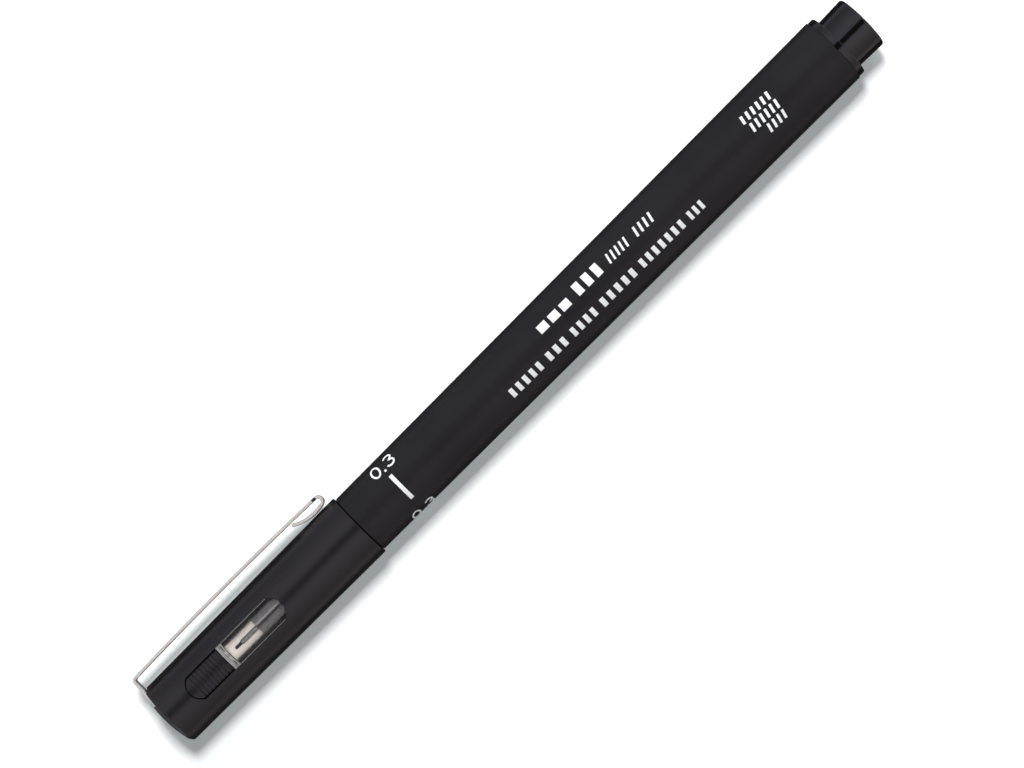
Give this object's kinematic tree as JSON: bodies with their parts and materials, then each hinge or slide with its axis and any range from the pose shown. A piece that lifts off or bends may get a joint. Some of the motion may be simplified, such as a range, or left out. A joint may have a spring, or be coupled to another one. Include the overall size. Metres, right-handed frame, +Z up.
{
  "type": "capped fineliner pen",
  "caption": "Slim capped fine-line marker pen with a tapered black barrel, a stepped tail plug, and a push-on cap with see-through windows and a sprung steel pocket clip.",
  "frame": {"origin": "on the table, under the middle of the pen's bounding box", "axes": "+X along the pen from its tail to the crown of its cap, -Y towards the pocket clip, +Z up through one of the cap's windows"},
  "size_m": [0.139, 0.0128, 0.0107],
  "materials": {
    "satin_black": "fine satin, moulded",
    "gloss_black": "polished, moulded",
    "clear": "clear, polished",
    "steel": "bright rolled",
    "nib_plastic": "inked",
    "fibre": "bonded fibre rod",
    "film": "thin clear film",
    "white_print": "white pad print"
  },
  "bodies": {
    "pen": {"barrel": "satin_black", "end_plug": "gloss_black", "front_section": "satin_black", "tip_sleeve": "steel", "nib_tube": "steel", "nib": "nib_plastic", "relay_wick": "fibre", "reservoir_core": "fibre", "reservoir_wrap": "film"},
    "liner": {"cap_liner": "clear"},
    "cap": {"cap_shell": "satin_black", "cap_core": "satin_black", "clip_root": "steel"},
    "clip": {"clip_arm": "steel"}
  },
  "joints": [
    {"name": "cap_pull", "type": "slide", "parent": "pen", "child": "liner", "axis": [1, 0, 0], "range_m": [0, 0.05]},
    {"name": "cap_turn", "type": "hinge", "parent": "liner", "child": "cap", "pos_m": [0, 0.0011, 0.00534], "axis": [1, 0, 0], "continuous": true},
    {"name": "clip_flex", "type": "hinge", "parent": "cap", "child": "clip", "pos_m": [0.06872, -0.00299, 0.00534], "axis": [0, 0, 1], "range_deg": [0, 7], "stiffness_Nm_per_rad": 1, "springref_deg": -1.15}
  ]
}
